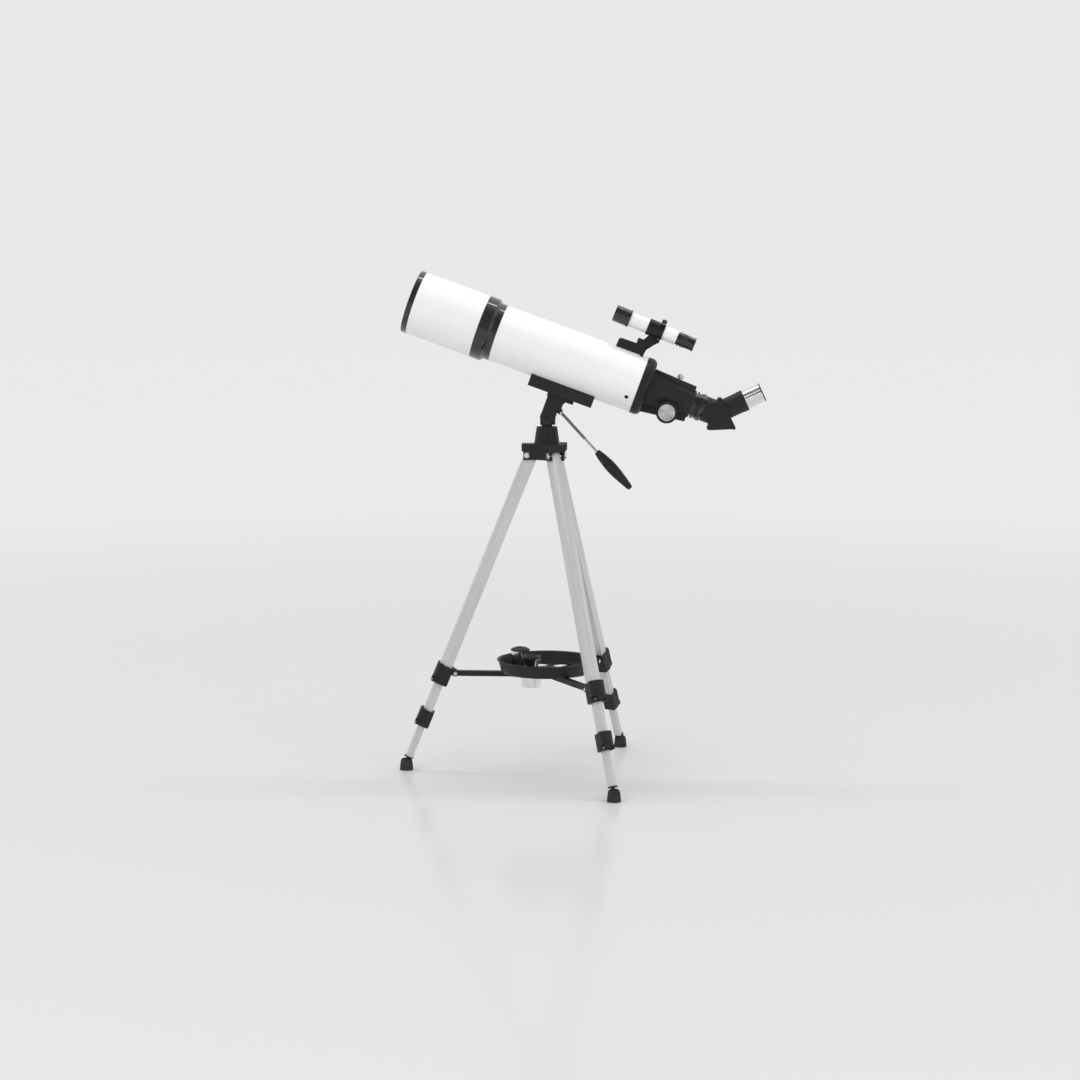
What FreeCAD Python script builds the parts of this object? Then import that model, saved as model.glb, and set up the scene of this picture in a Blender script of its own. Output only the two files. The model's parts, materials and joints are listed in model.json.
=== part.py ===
import FreeCAD, Part
import math
import os
import re
import Sketcher
from FreeCAD import Placement, Rotation, Vector

# Small refracting telescope on a folding three-leg stand.
#
# Stand frame: +Z up, origin on the floor below the pan axis.  The telescope's front points to -X,
# leg A lies under it at 180 degrees, legs B and C at -60 and +60 degrees.
# Tube frame: x runs rearward along the optical axis, z up from it.  It is tipped by the altitude.
# Leg frame: z runs up the leg from its top pivot, x outward.

doc = FreeCAD.newDocument("telescope_on_tripod")
sheet = doc.addObject("Spreadsheet::Sheet", "Sizes")

X_AXIS = Vector(1, 0, 0)
Y_AXIS = Vector(0, 1, 0)
Z_AXIS = Vector(0, 0, 1)

SIZES = {
    # tube and the way it sits on the head
    "altitude": 20.0,
    "tilt_axis_shift": 1.5,
    "tilt_axis_height": 578.0,
    "tilt_axis_along": 1.43,
    "tilt_axis_drop": 98.66,
    "tube_front": -118.3,
    "tube_rear": 120.5,
    "tube_radius": 46.0,
    "tube_wall": 1.0,
    "slide_gap": 0.3,
    "pin_gap": 0.06,
    # objective end
    "ring_front": -266.2,
    "shield_front": -257.1,
    "shield_rear": -149.2,
    "shield_radius": 51.1,
    "shield_wall": 1.6,
    "ring_radius": 51.4,
    "cell_radius": 51.5,
    "cell_waist": 46.6,
    "cell_shoulder": -132.4,
    "cell_neck": -126.8,
    "lens_radius": 40.9,
    "lens_front": -139.6,
    "lens_joint": -129.0,
    "lens_rear": -123.4,
    "lens_front_curve": 220.0,
    "lens_joint_curve": 180.0,
    # saddle under the tube
    "saddle_front": -45.7,
    "saddle_rear": 60.8,
    "saddle_bottom": -60.3,
    "saddle_half": 21.0,
    # focuser
    "focus_rear": 209.8,
    "collar_rear": 137.0,
    "collar_radius": 46.5,
    "focus_root_radius": 31.0,
    "focus_end_radius": 22.3,
    "draw_radius": 18.6,
    "draw_front": 106.0,
    "draw_inner": 17.0,
    "draw_ring_front": 212.5,
    "draw_ring_rear": 229.5,
    "draw_ring_radius": 22.2,
    "eyepiece_bore": 15.95,
    "eyepiece_barrel": 15.875,
    "gear_module": 0.8,
    "pinion_teeth": 12,
    "pinion_along": 176.4,
    "pinion_drop": 24.55,
    "pinion_face": 6.4,
    "shaft_radius": 2.0,
    "knob_radius": 17.0,
    "knob_inner": 28.2,
    "knob_outer": 41.0,
    "knob_dish_radius": 13.7,
    "lock_along": 178.2,
    # diagonal and eyepiece
    "housing_front": 245.0,
    "housing_half": 19.5,
    "nose_front": 209.5,
    "nose_collar_radius": 20.2,
    "fold_along": 251.7,
    "holder_root": 17.6,
    "holder_end": 49.92,
    "holder_radius": 16.7,
    "holder_collar": 17.2,
    "eyepiece_length": 29.7,
    "eyepiece_body": 14.9,
    # finder
    "finder_along": 114.8,
    "finder_height": 91.3,
    "finder_tilt": 2.1,
    "finder_radius": 11.6,
    "finder_ring_radius": 13.1,
    "finder_ring_bore": 12.0,
    # head
    "cone_bottom": 535.8,
    "cone_top": 563.0,
    "cone_bottom_radius": 20.4,
    "cone_top_radius": 16.4,
    "spindle_radius": 5.0,
    "pan_neck_radius": 8.6,
    "tongue_radius": 12.2,
    "tongue_half": 7.6,
    "cheek_radius": 11.4,
    "cheek_outer": 13.0,
    "tilt_pin_radius": 3.0,
    "handle_root_along": 15.7,
    "handle_root_drop": 83.0,
    "handle_slope": 27.3,
    "handle_rod_radius": 2.4,
    "grip_start": 88.4,
    "grip_end": 168.0,
    # crown of the stand
    "crown_bottom": 510.0,
    "crown_cap_bottom": 523.5,
    "crown_arm_half": 13.0,
    "crown_arm_reach": 37.2,
    "crown_cap_reach": 39.8,
    "leg_slot_half": 9.8,
    "leg_slot_start": 12.0,
    # legs
    "leg_angle": 22.0,
    "leg_pivot_radius": 31.5,
    "leg_pivot_height": 517.7,
    "leg_bolt_radius": 3.0,
    "leg_offset": 5.55,
    "ankle_height": 11.5,
    "upper_depth": 21.6,
    "upper_width": 19.0,
    "middle_depth": 15.6,
    "middle_width": 14.4,
    "lower_depth": 12.2,
    "lower_width": 11.2,
    "leg_wall": 1.0,
    "upper_top": 4.0,
    "upper_foot": -391.0,
    "middle_top": -129.0,
    "middle_foot": -469.0,
    "lower_top": -204.0,
    "ankle_disc_up": 12.0,
    "ankle_disc_radius": 7.8,
    "ankle_ball_radius": 5.0,
    "upper_collar_depth": 25.0,
    "upper_collar_width": 25.0,
    "upper_collar_low": -399.8,
    "upper_collar_high": -368.2,
    "upper_collar_centre": -7.2,
    "lower_collar_depth": 21.0,
    "lower_collar_width": 21.0,
    "lower_collar_low": -476.0,
    "lower_collar_high": -448.2,
    "lower_collar_centre": -6.7,
    "lever_gap": 0.4,
    "lever_thick": 3.0,
    "lug_in": -25.2,
    "lug_up": -374.2,
    "lug_radius": 4.8,
    "rivet_radius": 2.0,
    "foot_radius": 11.0,
    # braces and tray
    "brace_half_width": 4.7,
    "brace_half_height": 4.2,
    "brace_inner": 28.0,
    "tray_floor_bottom": 166.0,
    "tray_floor_top": 168.4,
    "tray_rim": 186.2,
    "tray_hole_radius": 16.2,
    "tray_hole_circle": 50.0,
    "tray_hole_first": 18.5,
    "tray_holes": 8,
}

LEGS = {"a": 180.0, "b": -60.0, "c": 60.0}
SIDES = {"left": 1, "right": -1}

nodes = []


# ---------------------------------------------------------------- helpers

def fill_sheet():
    """Write every driving size to the sheet as text and give its cell an alias."""
    for row, (name, value) in enumerate(SIZES.items(), start=1):
        sheet.set("A%d" % row, name)
        sheet.set("B%d" % row, str(value))
        sheet.setAlias("B%d" % row, name)
    doc.recompute()


def formula(text):
    """Turn a formula of size names into an expression on the sheet."""
    return re.sub(r"[a-z][a-z0-9_]*", r"Sizes.\g<0>", text)


def number(text):
    """The value of a formula of size names."""
    return float(sheet.evalExpression(text))


def bind(feature, **links):
    for prop, text in links.items():
        feature.setExpression(prop, formula(text))
    return feature


def at(x=0.0, y=0.0, z=0.0):
    return Placement(Vector(x, y, z), Rotation())


def turn(axis, degrees):
    return Placement(Vector(), Rotation(axis, degrees))


def box(name, xs, ys, zs):
    """A block between pairs of formulas along x, y and z."""
    block = doc.addObject("Part::Box", name)
    for side, corner, span in zip(("Length", "Width", "Height"), "xyz", (xs, ys, zs)):
        block.setExpression(side, formula("(%s) - (%s)" % (span[1], span[0])))
        block.setExpression(".Placement.Base." + corner, formula(span[0]))
    return block


def rod(name, axis, radius, low, high, across=("0", "0"), end_radius=None):
    """A cylinder or cone along x, y or z between two formulas; across holds the other two places."""
    if end_radius is None:
        solid = bind(doc.addObject("Part::Cylinder", name), Radius=radius)
    else:
        solid = bind(doc.addObject("Part::Cone", name), Radius1=radius, Radius2=end_radius)
    bind(solid, Height="(%s) - (%s)" % (high, low))
    turns = {"x": Rotation(Y_AXIS, 90), "y": Rotation(X_AXIS, -90), "z": Rotation()}
    solid.Placement = Placement(Vector(), turns[axis])
    places = list(across)
    places.insert("xyz".index(axis), low)
    for corner, place in zip("xyz", places):
        solid.setExpression(".Placement.Base." + corner, formula(place))
    return solid


def sphere(name, radius, x, z):
    ball = bind(doc.addObject("Part::Sphere", name), Radius=radius)
    ball.setExpression(".Placement.Base.x", formula(x))
    ball.setExpression(".Placement.Base.z", formula(z))
    return ball


def fuse(name, *pieces):
    joined = doc.addObject("Part::MultiFuse", name)
    joined.Shapes = list(pieces)
    joined.Refine = True
    return joined


def group(name, *pieces):
    """Separate solids that share one node."""
    together = doc.addObject("Part::Compound", name)
    together.Links = list(pieces)
    return together


def cut(name, base, *tools):
    tool = tools[0] if len(tools) == 1 else fuse(name + "_tools", *tools)
    result = doc.addObject("Part::Cut", name)
    result.Base = base
    result.Tool = tool
    return result


def common(name, *pieces):
    shared = doc.addObject("Part::MultiCommon", name)
    shared.Shapes = list(pieces)
    return shared


def drawn(body, plane, outline):
    """A closed sketch on one of the body's origin planes, each corner bound to two formulas."""
    sketch = body.newObject("Sketcher::SketchObject", body.Name + "_sketch")
    support = [item for item in body.Origin.OriginFeatures if item.Role == plane][0]
    sketch.AttachmentSupport = (support, [""])
    sketch.MapMode = "FlatFace"
    corners = [Vector(number(across), number(up), 0) for across, up in outline]
    count = len(corners)
    for index in range(count):
        line = Part.LineSegment(corners[index], corners[(index + 1) % count])
        sketch.addGeometry(line, False)
    for index in range(count):
        following = (index + 1) % count
        sketch.addConstraint(Sketcher.Constraint("Coincident", index, 2, following, 1))
    for index, texts in enumerate(outline):
        for kind, text in zip(("DistanceX", "DistanceY"), texts):
            place = Sketcher.Constraint(kind, -1, 1, index, 1, number(text))
            known = sketch.addConstraint(place)
            sketch.setExpression("Constraints[%d]" % known, formula(text))
    return sketch


def turned(name, outline):
    """A body of revolution about x; outline holds (along, radius) formulas."""
    body = doc.addObject("PartDesign::Body", name)
    sketch = drawn(body, "XY_Plane", outline)
    spin = body.newObject("PartDesign::Revolution", name + "_turn")
    spin.Profile = sketch
    spin.ReferenceAxis = (sketch, ["H_Axis"])
    spin.Angle = 360
    return body


def padded(name, outline, thickness):
    """A body of even thickness about the xz plane; outline holds (x, z) formulas."""
    body = doc.addObject("PartDesign::Body", name)
    sketch = drawn(body, "XZ_Plane", outline)
    pad = body.newObject("PartDesign::Pad", name + "_pad")
    pad.Profile = sketch
    pad.SideType = "Symmetric"
    bind(pad, Length=thickness)
    return body


def rounded(body, radius, chosen):
    """Fillet the edges of a body that the test picks."""
    doc.recompute()
    base = body.Tip
    picked = ["Edge%d" % (i + 1) for i, edge in enumerate(base.Shape.Edges) if chosen(edge)]
    fillet = body.newObject("PartDesign::Fillet", "%s_round%d" % (body.Name, len(body.Group)))
    fillet.Base = (base, picked)
    fillet.Radius = radius
    body.Tip = fillet
    return body


def circle_edge(along, radius):
    """A test for the circular edge about x at one station and radius."""
    def test(edge):
        curve = edge.Curve
        if not isinstance(curve, Part.Circle):
            return False
        return abs(curve.Center.x - along) < 0.01 and abs(curve.Radius - radius) < 0.01
    return test


def finish(label, feature, frame=Placement()):
    """Name a sub-part's feature after its node and put it in its frame."""
    feature.Label = label
    feature.Placement = frame
    nodes.append(feature)
    return feature


fill_sheet()

# ---------------------------------------------------------------- frames

TILT_AXIS = at(number("tilt_axis_shift"), 0, number("tilt_axis_height"))
TUBE = TILT_AXIS * turn(Y_AXIS, number("altitude"))
TUBE = TUBE * at(-number("tilt_axis_along"), 0, number("tilt_axis_drop"))
HANDLE = TUBE * at(number("handle_root_along"), 0, -number("handle_root_drop"))
HANDLE = HANDLE * turn(Y_AXIS, number("handle_slope"))
EYEPIECE_LOCAL = at(number("fold_along"), 0, 0) * turn(Y_AXIS, -45)
EYEPIECE = TUBE * EYEPIECE_LOCAL * at(number("holder_end"), 0, 0)
FINDER_LOCAL = at(number("finder_along"), 0, number("finder_height"))
FINDER_LOCAL = FINDER_LOCAL * turn(Y_AXIS, number("finder_tilt"))
FINDER = TUBE * FINDER_LOCAL
UPRIGHT = turn(Y_AXIS, -90)


def leg_frame(azimuth):
    pivot = at(number("leg_pivot_radius"), 0, number("leg_pivot_height"))
    return turn(Z_AXIS, azimuth) * pivot * turn(Y_AXIS, -number("leg_angle"))


# ---------------------------------------------------------------- optical tube

def main_tube():
    inner = "tube_radius - tube_wall"
    outline = [("tube_front", inner), ("tube_front", "tube_radius"),
               ("tube_rear", "tube_radius"), ("tube_rear", inner)]
    finish("main_tube", turned("main_tube", outline), TUBE)


def dew_shield():
    inner = "shield_radius - shield_wall"
    outline = [("shield_front", inner), ("shield_front", "shield_radius"),
               ("shield_rear", "shield_radius"), ("shield_rear", inner)]
    finish("dew_shield", turned("dew_shield", outline), TUBE)


def dew_shield_ring():
    fit = "shield_radius - shield_wall"
    outline = [("ring_front", "ring_radius - 4"), ("ring_front", "ring_radius - 0.8"),
               ("ring_front + 0.8", "ring_radius"), ("shield_front", "ring_radius"),
               ("shield_front", fit), ("shield_front + 7", fit),
               ("shield_front + 7", "ring_radius - 4")]
    finish("dew_shield_ring", turned("dew_shield_ring", outline), TUBE)


def objective_cell():
    fit = "shield_radius - shield_wall"
    spigot = "tube_radius - tube_wall"
    seat = "lens_radius + 0.1"
    spigot_front = "shield_rear - 11"
    outline = [(spigot_front, fit + " - 1.7"), (spigot_front, fit + " - pin_gap"),
               ("shield_rear + 0.1", fit + " - pin_gap"), ("shield_rear + 0.1", "cell_radius"),
               ("cell_shoulder", "cell_radius"), ("cell_shoulder + 2.2", "cell_radius - 2"),
               ("cell_shoulder + 3.8", "cell_waist + 1"), ("cell_neck", "cell_waist"),
               ("tube_front", "cell_waist"), ("tube_front", spigot),
               ("tube_front + 14", spigot), ("tube_front + 14", spigot + " - 3"),
               ("lens_rear + 2.4", spigot + " - 3"), ("lens_rear + 2.4", "lens_radius - 1.7"),
               ("lens_rear", "lens_radius - 1.7"), ("lens_rear", seat),
               ("lens_front - 1.4", seat), ("lens_front - 1.4", seat + " + 2")]
    finish("objective_cell", turned("objective_cell", outline), TUBE)


def objective_lenses():
    """A crown and a flint element with clear aperture of 80 mm, as two solids."""
    crown_blank = rod("crown_blank", "x", "lens_radius", "lens_front", "lens_joint")
    crown_front = sphere("crown_front", "lens_front_curve", "lens_front + lens_front_curve", "0")
    crown_back = sphere("crown_back", "lens_joint_curve", "lens_joint - lens_joint_curve", "0")
    crown = common("crown", crown_blank, crown_front, crown_back)
    flint_blank = rod("flint_blank", "x", "lens_radius", "lens_joint - 4.2", "lens_rear")
    flint_front = sphere("flint_front", "lens_joint_curve", "lens_joint + 0.2 - lens_joint_curve", "0")
    flint = cut("flint", flint_blank, flint_front)
    finish("objective_lenses", group("objective_lenses", crown, flint), TUBE)


def saddle():
    block = box("saddle_block", ("saddle_front", "saddle_rear"), ("-saddle_half", "saddle_half"),
                ("saddle_bottom", "-38"))
    hug = rod("saddle_hug", "x", "tube_radius", "saddle_front - 5", "saddle_rear + 5")
    finish("saddle", cut("saddle", block, hug), TUBE)


# ---------------------------------------------------------------- focuser

def focuser_body():
    """Rear collar, tapered housing, rack cover and pinion block in one moulding."""
    spigot = "tube_radius - tube_wall"
    bore = "draw_radius + slide_gap"
    outline = [("tube_rear - 12.5", spigot + " - 2"), ("tube_rear - 12.5", spigot),
               ("tube_rear", spigot), ("tube_rear", "collar_radius"),
               ("collar_rear", "collar_radius"), ("collar_rear", "focus_root_radius"),
               ("focus_rear", "focus_end_radius"), ("focus_rear", bore),
               ("collar_rear - 4", bore), ("collar_rear - 4", spigot + " - 8"),
               ("collar_rear - 10", spigot + " - 2")]
    shell = turned("focuser_shell", outline)
    rounded(shell, 9.5, circle_edge(number("collar_rear"), number("collar_radius")))
    root = "collar_rear - 1"
    top = padded("focuser_top", [(root, "20"), (root, "32.6"), ("focus_rear - 2.4", "28.6"),
                                 ("focus_rear - 2", "20")], "24")
    block = padded("focuser_block", [(root, "-18"), (root, "-38.6"), ("focus_rear - 2", "-29.4"),
                                     ("focus_rear - 2", "-18")], "26")
    pinion_at = ("pinion_along", "-pinion_drop")
    boss = rod("focuser_boss", "y", "8.5", "-knob_inner + 0.6", "knob_inner - 0.6", pinion_at)
    bore_tool = rod("focuser_bore", "x", bore, "collar_rear - 4", "focus_rear + 2")
    channel = box("focuser_channel", ("collar_rear - 6", "focus_rear + 2"), ("-4.3", "4.3"),
                  ("-draw_radius - 3.2", "-draw_radius + 2"))
    pocket = rod("focuser_pocket", "y", "6.4", "-5", "5", pinion_at)
    shaft = rod("focuser_shaft", "y", "shaft_radius + pin_gap", "-40", "40", pinion_at)
    screw = rod("focuser_screw", "z", "shaft_radius + pin_gap", "12", "40", ("lock_along", "0"))
    solid = fuse("focuser_solid", shell, top, block, boss)
    finish("focuser_body", cut("focuser_body", solid, bore_tool, channel, pocket, shaft, screw), TUBE)


def rack_tooth_outline(along):
    """Side view of one straight-sided rack tooth centred on a station."""
    root = "-draw_radius + 0.4"
    tip = "-draw_radius - gear_module * 2.4"
    return [("%s - gear_module * 1.05" % along, root), ("%s + gear_module * 1.05" % along, root),
            ("%s + gear_module * 0.28" % along, tip), ("%s - gear_module * 0.28" % along, tip)]


def drawtube():
    """Sliding tube with the rack below and the clamp ring that takes the diagonal's nose."""
    ring = "draw_ring_radius"
    outline = [("draw_front", "draw_inner"), ("draw_front", "draw_radius"),
               ("draw_ring_front", "draw_radius"), ("draw_ring_front", ring),
               ("draw_ring_front + 3.2", ring), ("draw_ring_front + 5", ring + " - 1.8"),
               ("draw_ring_front + 7", ring + " - 1.8"), ("draw_ring_front + 9", ring),
               ("draw_ring_rear - 2.4", ring), ("draw_ring_rear", ring + " - 2"),
               ("draw_ring_rear", "eyepiece_bore"), ("nose_front - 1", "eyepiece_bore"),
               ("nose_front - 1", "draw_inner - 2.6"), ("nose_front - 3", "draw_inner - 2.6"),
               ("nose_front - 3", "draw_inner")]
    pieces = [turned("drawtube_shell", outline)]
    pitch = "gear_module * 3.14159265"
    for count in range(28):
        station = "(pinion_along + %s * (%.1f))" % (pitch, 2.5 - count)
        tooth = padded("rack_tooth_%02d" % count, rack_tooth_outline(station), "pinion_face")
        pieces.append(tooth)
    finish("drawtube", fuse("drawtube", *pieces), TUBE)


def pinion_shaft():
    """Cross shaft with the pinion cut in its middle; one tooth points straight up."""
    root = "gear_module * 4.6"
    parts = [rod("shaft", "y", "shaft_radius", "-knob_outer + 3", "knob_outer - 3"),
             rod("pinion_root", "y", root, "-pinion_face / 2", "pinion_face / 2")]
    tooth = [("-gear_module * 1.0", "gear_module * 4.3"), ("gear_module * 1.0", "gear_module * 4.3"),
             ("gear_module * 0.28", "gear_module * 6.95"), ("-gear_module * 0.28", "gear_module * 6.95")]
    teeth = int(number("pinion_teeth"))
    for count in range(teeth):
        spoke = padded("pinion_tooth_%02d" % count, tooth, "pinion_face")
        spoke.Placement = turn(Y_AXIS, 360.0 / teeth * count)
        parts.append(spoke)
    centre = at(number("pinion_along"), 0, -number("pinion_drop"))
    finish("pinion_shaft", fuse("pinion_shaft", *parts), TUBE * centre)


def focus_knobs():
    knobs = []
    for side, sign in SIDES.items():
        outline = [("knob_inner", "shaft_radius"), ("knob_inner", "knob_radius - 3"),
                   ("knob_inner + 1.6", "knob_radius - 0.6"), ("knob_inner + 2.6", "knob_radius"),
                   ("knob_outer - 1", "knob_radius"), ("knob_outer", "knob_radius - 1"),
                   ("knob_outer", "knob_dish_radius"), ("knob_outer - 1.2", "knob_dish_radius"),
                   ("knob_outer - 1.2", "0"), ("knob_outer - 3", "0"),
                   ("knob_outer - 3", "shaft_radius")]
        knob = turned("focus_knob_" + side, outline)
        knob.Placement = turn(Z_AXIS, 90 * sign)
        knobs.append(knob)
    centre = at(number("pinion_along"), 0, -number("pinion_drop"))
    finish("focus_knobs", group("focus_knobs", *knobs), TUBE * centre)


def focus_lock_screw():
    outline = [("draw_radius + slide_gap", "0"), ("draw_radius + slide_gap", "shaft_radius"),
               ("31.4", "shaft_radius"), ("31.4", "3.4"), ("32.4", "4.6"),
               ("37.6", "4.6"), ("38.4", "3.8"), ("38.4", "0")]
    frame = TUBE * at(number("lock_along"), 0, 0) * UPRIGHT
    finish("focus_lock_screw", turned("focus_lock_screw", outline), frame)


# ---------------------------------------------------------------- diagonal and eyepiece

def diagonal_housing():
    """Prism housing with its 1.25 inch nose and its eyepiece holder."""
    outline = [("housing_front", "-26.5"), ("housing_front", "23"), ("247.5", "25.2"),
               ("251.5", "25.2"), ("254", "22.3"), ("287.9", "-10.6"), ("286.8", "-13.2"),
               ("283.6", "-14.4"), ("252.5", "-27.4"), ("249", "-28.2")]
    case = padded("diagonal_case", outline, "housing_half * 2")
    nose = rod("diagonal_nose", "x", "eyepiece_barrel", "nose_front", "housing_front + 1")
    collar = rod("diagonal_collar", "x", "nose_collar_radius", "draw_ring_rear + slide_gap",
                 "housing_front + 1")
    tube = turned("diagonal_tube", [("holder_root - 4", "0"), ("holder_root - 4", "holder_radius"),
                                    ("holder_end - 9", "holder_radius"),
                                    ("holder_end - 8.4", "holder_collar"),
                                    ("holder_end", "holder_collar"), ("holder_end", "0")])
    tube.Placement = EYEPIECE_LOCAL
    cavity = padded("diagonal_cavity", [("249", "-24.5"), ("249", "18"), ("254.4", "18"),
                                        ("283", "-11")], "31")
    light = rod("diagonal_light", "x", "13", "nose_front - 1", "250")
    bore = turned("diagonal_bore", [("2", "0"), ("2", "12"), ("holder_end - 25", "12"),
                                    ("holder_end - 25", "eyepiece_bore"),
                                    ("holder_end + 1", "eyepiece_bore"), ("holder_end + 1", "0")])
    bore.Placement = EYEPIECE_LOCAL
    solid = fuse("diagonal_solid", case, nose, collar, tube)
    finish("diagonal_housing", cut("diagonal_housing", solid, cavity, light, bore), TUBE)


def prism():
    outline = [("249.4", "-23.8"), ("249.4", "17.6"), ("254.2", "17.6"), ("282.2", "-10.9")]
    finish("prism", padded("prism", outline, "30.2"), TUBE)


def eyepiece():
    body = "eyepiece_body"
    outline = [("-22", "13.6"), ("-22", "eyepiece_barrel"), ("-1", "eyepiece_barrel"), ("-1", body),
               ("eyepiece_length - 1.6", body), ("eyepiece_length - 1.6", "15.5"),
               ("eyepiece_length", "15.5"), ("eyepiece_length", "12"),
               ("eyepiece_length - 3", "8.5"), ("eyepiece_length - 8", "8.5"),
               ("eyepiece_length - 8", "12.6"), ("-1", "13.6")]
    finish("eyepiece", turned("eyepiece", outline), EYEPIECE)


# ---------------------------------------------------------------- finder

FINDER_SCREW_TURNS = (30.0, 150.0, 270.0)


def finder_screw(name, radius, low, high, turned_by):
    """A rod square to the finder's axis, seen from the ring's centre."""
    screw = bind(doc.addObject("Part::Cylinder", name), Radius=radius)
    bind(screw, Height="(%s) - (%s)" % (high, low))
    screw.Placement = at(8.6, 0, 0) * turn(X_AXIS, turned_by) * at(0, 0, number(low))
    return screw


def finder_bracket():
    """Foot on the tube, leaning arm and the ring that the finder is aimed in."""
    base = padded("bracket_base", [("64.1", "40"), ("65.3", "58.4"), ("68.6", "60.2"),
                                   ("93.6", "60.6"), ("93.6", "69.7"), ("104", "69.7"),
                                   ("112", "56"), ("109.5", "40")], "16")
    arm = padded("bracket_arm", [("100.4", "66"), ("109.3", "82"), ("127", "82"), ("127", "74.7"),
                                 ("111.4", "55")], "10")
    ring = bind(doc.addObject("Part::Cylinder", "bracket_ring"), Radius="finder_ring_radius")
    ring.Height = 26.5
    ring.Placement = FINDER_LOCAL * at(-13.3, 0, 0) * turn(Y_AXIS, 90)
    bore = bind(doc.addObject("Part::Cylinder", "bracket_bore"), Radius="finder_ring_bore")
    bore.Height = 30
    bore.Placement = FINDER_LOCAL * at(-15, 0, 0) * turn(Y_AXIS, 90)
    bosses = []
    holes = []
    for count, angle in enumerate(FINDER_SCREW_TURNS):
        boss = finder_screw("bracket_boss_%d" % count, "3.2", "12.4", "14.2", angle)
        boss.Placement = FINDER_LOCAL * boss.Placement
        bosses.append(boss)
        hole = finder_screw("bracket_hole_%d" % count, "1.9", "10", "16", angle)
        hole.Placement = FINDER_LOCAL * hole.Placement
        holes.append(hole)
    tube = rod("bracket_hug", "x", "tube_radius", "50", "125")
    solid = fuse("bracket_solid", base, arm, ring, *bosses)
    finish("finder_bracket", cut("finder_bracket", solid, bore, tube, *holes), TUBE)


def finder_screws():
    screws = []
    for count, angle in enumerate(FINDER_SCREW_TURNS):
        shank = finder_screw("adjuster_shank_%d" % count, "1.9", "12.1", "18.5", angle)
        head = finder_screw("adjuster_head_%d" % count, "4.1", "17.4", "20.6", angle)
        screws.append(fuse("adjuster_%d" % count, shank, head))
    finish("finder_screws", group("finder_screws", *screws), FINDER)


def finder_tube():
    inner = "finder_radius - 1"
    outline = [("-66", inner), ("-66", "finder_radius"), ("36", "finder_radius"), ("36", inner)]
    finish("finder_tube", turned("finder_tube", outline), FINDER)


def finder_objective_cell():
    outline = [("-70.1", "10"), ("-70.1", "12.6"), ("-69.4", "13.3"), ("-46.4", "13.3"),
               ("-46.4", "14.1"), ("-43.6", "14.1"), ("-43.6", "finder_radius"),
               ("-66", "finder_radius"), ("-66", "10")]
    finish("finder_objective_cell", turned("finder_objective_cell", outline), FINDER)


def finder_eyepiece():
    fit = "finder_radius - 1 - slide_gap"
    outline = [("22", "8"), ("22", fit), ("39.3", fit), ("39.3", "12.2"), ("41", "12.2"),
               ("41", "10.5"), ("63.4", "10.5"), ("63.4", "11"), ("66.2", "11"),
               ("66.2", "7"), ("63", "5.5"), ("58", "5.5"), ("58", "8")]
    finish("finder_eyepiece", turned("finder_eyepiece", outline), FINDER)


# ---------------------------------------------------------------- head

def column_cone():
    """Fluted boss on the crown with the bore for the pan spindle."""
    outline = [("cone_bottom", "spindle_radius + pin_gap"), ("cone_bottom", "cone_bottom_radius"),
               ("cone_top", "cone_top_radius"), ("cone_top", "spindle_radius + pin_gap")]
    cone = turned("cone_body", outline)
    cone.Placement = UPRIGHT
    height = number("cone_top - cone_bottom")
    spread = number("cone_bottom_radius - cone_top_radius")
    lean = math.degrees(math.atan2(spread, height))
    flutes = []
    count = 20
    for index in range(count):
        flute = bind(doc.addObject("Part::Cylinder", "flute_%02d" % index), Radius="1.5")
        bind(flute, Height="cone_top - cone_bottom - 4")
        place = turn(Z_AXIS, 360.0 / count * index)
        place = place * at(number("cone_bottom_radius") + 0.5, 0, number("cone_bottom") + 1.5)
        flute.Placement = place * turn(Y_AXIS, -lean)
        flutes.append(flute)
    finish("column_cone", cut("column_cone", cone, *flutes))


def pan_head():
    """Spindle, neck and the broad tongue that the tilt pin goes through."""
    gap_top = "cone_top + slide_gap"
    floor = "cone_top + 3"
    shift = "tilt_axis_shift"
    pivot = (shift, "tilt_axis_height")
    side = ("-tongue_half", "tongue_half")
    spindle = rod("pan_spindle", "z", "spindle_radius", "cone_bottom + 6", gap_top)
    neck = rod("pan_neck", "z", "pan_neck_radius", gap_top, "cone_top + 3.3")
    block = box("pan_block", (shift + " - 11.8", shift + " + 11.8"), side,
                (floor, "tilt_axis_height"))
    crest = rod("pan_crest", "y", "tongue_radius", side[0], side[1], pivot)
    solid = fuse("pan_solid", spindle, neck, block, crest)
    pin = rod("pan_pin_bore", "y", "tilt_pin_radius", "-20", "20", pivot)
    finish("pan_head", cut("pan_head", solid, pin))


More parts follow.
